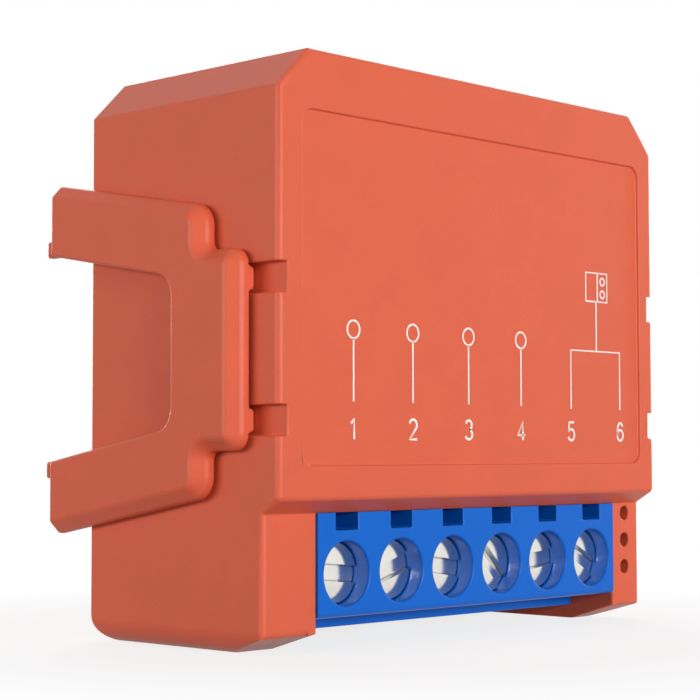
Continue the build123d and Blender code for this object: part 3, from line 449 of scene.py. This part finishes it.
def startTree(name, inputs):  # inputs are name: (socket type, default)
    tree = bpy.data.node_groups.new(name, "GeometryNodeTree")
    tree.is_modifier = True
    tree.interface.new_socket(name="Geometry", in_out="INPUT", socket_type="NodeSocketGeometry")
    for title, (kind, default) in inputs.items():
        socket = tree.interface.new_socket(name=title, in_out="INPUT", socket_type="NodeSocket" + kind)
        if default is not None:
            socket.default_value = default
    tree.interface.new_socket(name="Geometry", in_out="OUTPUT", socket_type="NodeSocketGeometry")
    net = Net(tree)
    first = net.add("NodeGroupInput")
    given = {title: first.out(title) for title in ("Geometry", *inputs)}
    return tree, net, given


def endTree(net, geometry, given):
    real = net.add("GeometryNodeRealizeInstances", None, {"Geometry": geometry})
    done = net.add("GeometryNodeSetMaterial", None, {"Geometry": real, "Material": given["Finish"]})
    net.add("NodeGroupOutput", None, {"Geometry": done})


def oneFinish(mesh):  # the tree leaves an empty slot before the finish
    finish = mesh.materials[-1]
    mesh.materials.clear()
    mesh.materials.append(finish)
    mesh.polygons.foreach_set("material_index", [0] * len(mesh.polygons))
    return mesh


def grown(tree, values, name, start):  # a plain mesh of what the tree makes
    host = newPiece(name + "Host", start)
    modifier = host.modifiers.new(name, "NODES")
    modifier.node_group = tree
    for socket in tree.interface.items_tree:
        if socket.in_out == "INPUT" and socket.name in values:
            modifier[socket.identifier] = values[socket.name]
    return oneFinish(evaluatedMesh(host, name))


def facingFront(place):  # +Z of a drawn mesh turns to the front, -Y
    return Matrix.Translation(place) @ Euler((pi / 2, 0, 0)).to_matrix().to_4x4()


# Terminal screws: a turned profile swept round, a thread on its shank and a slot across its head

screwLook = {
    "crown": 0.16 * mm, "rimRound": 0.1 * mm, "headThickness": 1.91 * mm, "shankRadius": 1.25 * mm,
    "threadPitch": 0.45 * mm, "threadDepth": 0.12 * mm, "threadGap": 0.35 * mm, "tipLength": 0.4 * mm,
    "slotWidth": 0.98 * mm, "slotDepth": 0.45 * mm, "slotFlare": 0.25, "slotLength": 10 * mm,
    "slotAngles": (-5.6, 16.6, -8.0, -46.2, 6.1, -27.9),
    "roundSteps": 96, "profileSteps": 170, "domeSteps": 16, "rimSteps": 4,
    "threadedFrom": 0.98, "joinDistance": 0.001 * mm, "crispAngle": radians(30),
}


def screwTree():
    tree, net, given = startTree("turnedScrew", {
        "Round Steps": ("Int", screwLook["roundSteps"]), "Profile Steps": ("Int", screwLook["profileSteps"]),
        "Thread Pitch": ("Float", screwLook["threadPitch"]),
        "Thread Depth": ("Float", screwLook["threadDepth"]), "Thread Start": ("Float", 0.0),
        "Thread End": ("Float", 0.0), "Shank Radius": ("Float", 0.0),
        "Slot Width": ("Float", screwLook["slotWidth"]), "Slot Depth": ("Float", screwLook["slotDepth"]),
        "Slot Angle": ("Float", 0.0), "Slot Flare": ("Float", screwLook["slotFlare"]),
        "Head Top": ("Float", 0.0), "Finish": ("Material", None)})
    outline = net.add("GeometryNodeMeshToCurve", None, {"Mesh": given["Geometry"]})
    steps = {"Vertices X": given["Round Steps"], "Vertices Y": given["Profile Steps"]}
    sheet = net.add("GeometryNodeMeshGrid", None, dict(steps, **{"Size X": 1.0, "Size Y": 1.0}))
    share = net.split(sheet.out("UV Map"))
    along = net.add("GeometryNodeSampleCurve", {"mode": "FACTOR", "use_all_curves": True},
                    {"Curves": outline, "Factor": share.out("Y")}).out("Position")
    point = net.split(along)
    radius, height = point.out("X"), point.out("Z")
    turn = share.out("X") * (2 * pi)
    wave = net.math("PINGPONG", height / given["Thread Pitch"] - share.out("X"), 0.5) * 2.0
    below = net.math("LESS_THAN", height, given["Thread End"])
    inThread = below * net.math("GREATER_THAN", height, given["Thread Start"])
    onShank = net.math("GREATER_THAN", radius, given["Shank Radius"] * screwLook["threadedFrom"])
    radius = radius - wave * inThread * onShank * given["Thread Depth"]
    place = net.join(x=radius * net.math("COSINE", turn), y=radius * net.math("SINE", turn), z=height)
    turned = net.add("GeometryNodeSetPosition", None, {"Geometry": sheet, "Position": place})
    closed = net.add("GeometryNodeMergeByDistance", None,
                     {"Geometry": turned, "Distance": screwLook["joinDistance"]})
    cutterSize = net.join(x=screwLook["slotLength"], y=given["Slot Width"], z=given["Slot Depth"] * 2.0)
    cutter = net.add("GeometryNodeMeshCube", None, {"Size": cutterSize})
    corner = net.split(net.add("GeometryNodeInputPosition"))
    widened = 1.0 + net.math("GREATER_THAN", corner.out("Z"), 0.0) * given["Slot Flare"]
    flared = net.join(x=corner.out("X"), y=corner.out("Y") * widened, z=corner.out("Z"))
    cutter = net.add("GeometryNodeSetPosition", None, {"Geometry": cutter, "Position": flared})
    cutter = net.add("GeometryNodeTransform", None, {
        "Geometry": cutter, "Translation": net.join(z=given["Head Top"]),
        "Rotation": net.join(z=given["Slot Angle"])})
    slotted = net.add("GeometryNodeMeshBoolean", {"operation": "DIFFERENCE", "solver": "EXACT"},
                      {"Mesh 1": closed, "Mesh 2": cutter})
    endTree(net, slotted, given)
    return tree


def screwProfile(headRadius, length):  # half outline from the tip to the top of the dome, which is at z 0
    look = screwLook
    shank, thick, crown, rim = look["shankRadius"], look["headThickness"], look["crown"], look["rimRound"]
    points = [(0.0, -length), (shank - look["tipLength"], -length), (shank, -length + look["tipLength"]),
              (shank, -thick), (headRadius - rim, -thick), (headRadius, -thick + rim)]
    domeRadius = (headRadius ** 2 + crown ** 2) / (2 * crown)
    reach = asin((headRadius - rim) / domeRadius)
    edge = domeRadius * (1 - cos(reach))
    for step in range(1, look["rimSteps"] + 1):
        angle = pi / 2 * step / look["rimSteps"]
        points.append((headRadius - rim + rim * cos(angle), -edge - rim + rim * sin(angle)))
    for step in range(1, look["domeSteps"] + 1):
        angle = reach * (1 - step / look["domeSteps"])
        points.append((domeRadius * sin(angle), -domeRadius * (1 - cos(angle))))
    mesh = bpy.data.meshes.new("screwProfile")
    mesh.from_pydata([(x, 0.0, z) for x, z in points], [(i, i + 1) for i in range(len(points) - 1)], [])
    return mesh


turnedScrew = screwTree()
for number, slotAngle in enumerate(screwLook["slotAngles"], 1):
    node = f"terminal_screw_{number}"
    low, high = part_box(node)
    length = high.y - low.y
    mesh = grown(turnedScrew, {
        "Thread Start": -length + screwLook["tipLength"],
        "Thread End": -screwLook["headThickness"] - screwLook["threadGap"],
        "Shank Radius": screwLook["shankRadius"], "Slot Angle": radians(slotAngle),
        "Finish": finishes["screw_steel"]},
        f"terminalScrew{number}", screwProfile((high.x - low.x) / 2, length))
    mesh.transform(facingFront(Vector(((low.x + high.x) / 2, low.y, (low.z + high.z) / 2))))
    screw = newPiece(f"terminalScrew{number}", smoothed(mesh, screwLook["crispAngle"]))
    settle(screw, bodyOf[node], "screw_steel", node)
    print("screw", number, len(mesh.polygons))


# Printed marks on the label field: rings on stems, a plug outline on a bracket, and plain numbers

markLook = {
    "fieldDepth": 0.2 * mm, "thickness": 0.02 * mm, "stroke": 0.13 * mm,
    "ringPlaces": (-12.48, -7.04, -1.6, 3.85), "ringHeight": 1.38 * mm, "ringRadius": 0.55 * mm,
    "ringSteps": 64, "stemFoot": -3.05 * mm,
    "forkPlaces": (9.38, 15.1), "forkTop": 0.94 * mm, "forkFoot": -3.16 * mm, "leadPlace": 12.36 * mm,
    "plugLow": (11.17 * mm, 4.47 * mm), "plugHigh": (13.66 * mm, 6.51 * mm), "plugDivide": 12.52 * mm,
    "pinPlace": 13.11 * mm, "pinHeights": (5.92, 5.01), "pinRadius": 0.26 * mm, "pinSteps": 32,
    "numberFoot": -5.36 * mm, "numberHeight": 1.26 * mm, "numberStroke": 0.17 * mm,
}


def inkBand(net, given):  # the section of a printed stroke
    return net.add("GeometryNodeCurvePrimitiveQuadrilateral", None,
                   {"Width": given["Stroke"], "Height": given["Thickness"]})


def inkAlong(net, curve, band):
    return net.add("GeometryNodeCurveToMesh", None,
                   {"Curve": curve, "Profile Curve": band, "Fill Caps": True})


def ringRowTree():  # a ring and a stem at each point of the start mesh
    tree, net, given = startTree("ringRow", {
        "Ring Radius": ("Float", 0.0), "Stroke": ("Float", 0.0), "Thickness": ("Float", 0.0),
        "Stem Length": ("Float", 0.0), "Finish": ("Material", None)})
    band = inkBand(net, given)
    ring = net.add("GeometryNodeCurvePrimitiveCircle", None,
                   {"Resolution": markLook["ringSteps"], "Radius": given["Ring Radius"]})
    top = net.join(y=given["Ring Radius"] * -1.0)
    foot = net.join(y=given["Ring Radius"] * -1.0 - given["Stem Length"])
    stem = net.add("GeometryNodeCurvePrimitiveLine", None, {"Start": top, "End": foot})
    mark = net.add("GeometryNodeJoinGeometry", None,
                   {"Geometry": [inkAlong(net, ring, band), inkAlong(net, stem, band)]})
    row = net.add("GeometryNodeInstanceOnPoints", None, {"Points": given["Geometry"], "Instance": mark})
    endTree(net, row, given)
    return tree


def strokeTree():  # flat strokes along the edges of the start mesh
    tree, net, given = startTree("inkStroke", {
        "Stroke": ("Float", 0.0), "Thickness": ("Float", 0.0), "Finish": ("Material", None)})
    lines = net.add("GeometryNodeMeshToCurve", None, {"Mesh": given["Geometry"]})
    endTree(net, inkAlong(net, lines, inkBand(net, given)), given)
    return tree


def pointMesh(name, points, edges=()):
    mesh = bpy.data.meshes.new(name)
    mesh.from_pydata([(x, y, 0.0) for x, y in points], list(edges), [])
    return mesh


def drawnLines(*lines):  # each line is its points; together they give the points and edges of one mesh
    points, edges = [], []
    for line in lines:
        edges += [(len(points) + i, len(points) + i + 1) for i in range(len(line) - 1)]
        points += line
    return points, edges


def bow(centre, radii, start, end, steps=20):  # points of an arc, angles in degrees
    angles = [radians(start + (end - start) * i / steps) for i in range(steps + 1)]
    return [(centre[0] + radii[0] * cos(angle), centre[1] + radii[1] * sin(angle)) for angle in angles]


numberLines = {  # each number's pen lines, for a height of 1, standing on 0
    1: [[(-0.2, 0.78), (-0.08, 0.84), (0.04, 1.0), (0.04, 0.0)]],
    2: [bow((0.0, 0.72), (0.27, 0.28), 165, -38) + [(-0.27, 0.0), (0.29, 0.0)]],
    3: [bow((-0.01, 0.76), (0.24, 0.24), 160, -90) + bow((-0.01, 0.27), (0.28, 0.25), 90, -160)],
    4: [[(0.13, 0.0), (0.13, 1.0), (-0.3, 0.26), (0.31, 0.26)]],
    5: [[(0.24, 1.0), (-0.18, 1.0), (-0.24, 0.52)] + bow((-0.01, 0.31), (0.28, 0.31), 140, -158)],
    6: [bow((0.01, 0.3), (0.27, 0.3), -180, 180) + bow((0.02, 0.5), (0.28, 0.5), 184, 38)],
}
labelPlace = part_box("case_shell")[0].y + markLook["fieldDepth"] - markLook["thickness"] / 2
inkPlane = facingFront(Vector((0.0, labelPlace, 0.0)))
inkSizes = {"Stroke": markLook["stroke"], "Thickness": markLook["thickness"], "Finish": ink}
numberSizes = dict(inkSizes, Stroke=markLook["numberStroke"])
penStroke = strokeTree()


def printMark(name, mesh):
    mesh.transform(inkPlane)
    settle(newPiece(name, mesh), bodyOf["case_shell"], "light_white")


def forkLines():  # the bracket over two poles, its lead, and the plug with its two pins
    look = markLook
    left, right = (x * mm for x in look["forkPlaces"])
    forkTop, forkFoot = look["forkTop"], look["forkFoot"]
    plugLeft, plugFoot = look["plugLow"]
    plugRight, plugTop = look["plugHigh"]
    pins = [bow((look["pinPlace"], z * mm), (look["pinRadius"],) * 2, 0, 360, look["pinSteps"])
            for z in look["pinHeights"]]
    return drawnLines(
        [(left, forkFoot), (left, forkTop), (right, forkTop), (right, forkFoot)],
        [(look["leadPlace"], forkTop), (look["leadPlace"], plugFoot)],
        [(plugLeft, plugFoot), (plugRight, plugFoot), (plugRight, plugTop), (plugLeft, plugTop),
         (plugLeft, plugFoot)],
        [(look["plugDivide"], plugFoot), (look["plugDivide"], plugTop)], *pins)


ringPoints = pointMesh("ringPoints", [(x * mm, markLook["ringHeight"]) for x in markLook["ringPlaces"]])
stemLength = markLook["ringHeight"] - markLook["ringRadius"] - markLook["stemFoot"]
ringSizes = dict(inkSizes, **{"Ring Radius": markLook["ringRadius"], "Stem Length": stemLength})
printMark("markRings", grown(ringRowTree(), ringSizes, "markRings", ringPoints))
printMark("markFork", grown(penStroke, inkSizes, "markFork", pointMesh("forkPoints", *forkLines())))
height, foot = markLook["numberHeight"], markLook["numberFoot"]
for number, x in enumerate(markLook["ringPlaces"] + markLook["forkPlaces"], 1):
    lines = [[(x * mm + across * height, foot + up * height) for across, up in line]
             for line in numberLines[number]]
    numberPoints = pointMesh(f"number{number}Points", *drawnLines(*lines))
    printMark(f"poleNumber{number}", grown(penStroke, numberSizes, f"poleNumber{number}", numberPoints))
print("marks drawn")


# Studio: a pale floor, a white surround and soft lamps

studio = {
    "floorSize": 4.0, "floorShade": 0.3, "seenWhite": 0.98, "fadeFrom": 0.8, "fadeStart": 0.024,
    "fadeEnd": 0.046, "ambient": 0.13, "lampDistance": 0.45,
    "lamps": {  # toward x, y, z of the lamp, its width and height, and the level on a face square to it
        "frontLamp": ((-0.15, -1.0, 0.13), (0.34, 0.11), 0.93),
        "leftLamp": ((-1.0, 0.25, 0.13), (0.3, 0.11), 0.42),
        "rightLamp": ((1.0, 0.1, 0.15), (0.3, 0.11), 0.42),
        "backLamp": ((0.25, 1.0, 0.15), (0.3, 0.11), 0.42),
        "topLamp": ((0.62, 0.62, 0.48), (0.2, 0.2), 0.45),
    },
}
cameraLook = {
    "place": (-0.09641682, -0.09803055, -0.00624170), "turn": (93.12262503, 0.10297928, -46.04300005),
    "lens": 97.60114, "sensor": 36.0, "near": 0.01, "far": 10.0,
}
objectMiddle = (cadBox[0] + cadBox[1]) / 2


def seenRays(net):  # 1 for camera, mirror and glass rays
    path = net.add("ShaderNodeLightPath")
    either = net.math("MAXIMUM", path.out("Is Camera Ray"), path.out("Is Glossy Ray"))
    return net.math("MAXIMUM", either, path.out("Is Transmission Ray"))


def makeFloor():  # what is seen of it fades to white away from the object
    mesh = bpy.data.meshes.new("floor")
    half = studio["floorSize"] / 2
    corners = [(-half, -half, 0), (half, -half, 0), (half, half, 0), (-half, half, 0)]
    mesh.from_pydata(corners, [], [(0, 1, 2, 3)])
    mesh.transform(Matrix.Translation((0, 0, cadBox[0].z)))
    floor = newPiece("floor", mesh)
    material, net, place = startFinish("paleFloor")
    offset = net.vector("SUBTRACT", place, tuple(objectMiddle[:2]) + (cadBox[0].z,))
    away = net.vector("LENGTH", offset, output="Value")
    fade = net.spread(away, studio["fadeStart"], studio["fadeEnd"], studio["fadeFrom"], 1.0)
    grey = net.add("ShaderNodeBsdfDiffuse", None, {"Color": (studio["floorShade"],) * 3 + (1.0,)})
    pale = net.add("ShaderNodeBsdfDiffuse", None, {"Color": (studio["seenWhite"],) * 3 + (1.0,)})
    glow = net.add("ShaderNodeEmission", None, {"Color": white, "Strength": 1.0})
    seen = net.add("ShaderNodeMixShader", None, {0: fade, 1: pale, 2: glow})
    shader = net.add("ShaderNodeMixShader", None, {0: seenRays(net), 1: grey, 2: seen})
    net.add("ShaderNodeOutputMaterial", None, {"Surface": shader})
    mesh.materials.append(material)


def makeSurround():
    world = bpy.data.worlds.new("surround")
    bpy.context.scene.world = world
    world.use_nodes = True
    world.node_tree.nodes.clear()
    net = Net(world.node_tree)
    strength = studio["ambient"] + seenRays(net) * (1.0 - studio["ambient"])
    light = net.add("ShaderNodeBackground", None, {"Color": white, "Strength": strength})
    net.add("ShaderNodeOutputWorld", None, {"Surface": light})


def makeLamps():
    for name, (toward, size, level) in studio["lamps"].items():
        lamp = bpy.data.lights.new(name, "AREA")
        lamp.shape = "RECTANGLE"
        lamp.size, lamp.size_y = size
        lamp.energy = level * pi ** 2 * studio["lampDistance"] ** 2
        holder = bpy.data.objects.new(name, lamp)
        direction = Vector(toward).normalized()
        holder.location = objectMiddle + direction * studio["lampDistance"]
        holder.rotation_euler = direction.to_track_quat("Z", "Y").to_euler()
        bpy.context.scene.collection.objects.link(holder)


def makeCamera():
    camera = bpy.data.cameras.new("photoCamera")
    camera.lens = cameraLook["lens"]
    camera.sensor_width = cameraLook["sensor"]
    camera.clip_start = cameraLook["near"]
    camera.clip_end = cameraLook["far"]
    holder = bpy.data.objects.new("photoCamera", camera)
    holder.location = cameraLook["place"]
    holder.rotation_euler = [radians(angle) for angle in cameraLook["turn"]]
    bpy.context.scene.collection.objects.link(holder)
    bpy.context.scene.camera = holder


makeFloor()
makeSurround()
makeLamps()
makeCamera()
bpy.context.scene.view_settings.view_transform = "Standard"
print("studio set")
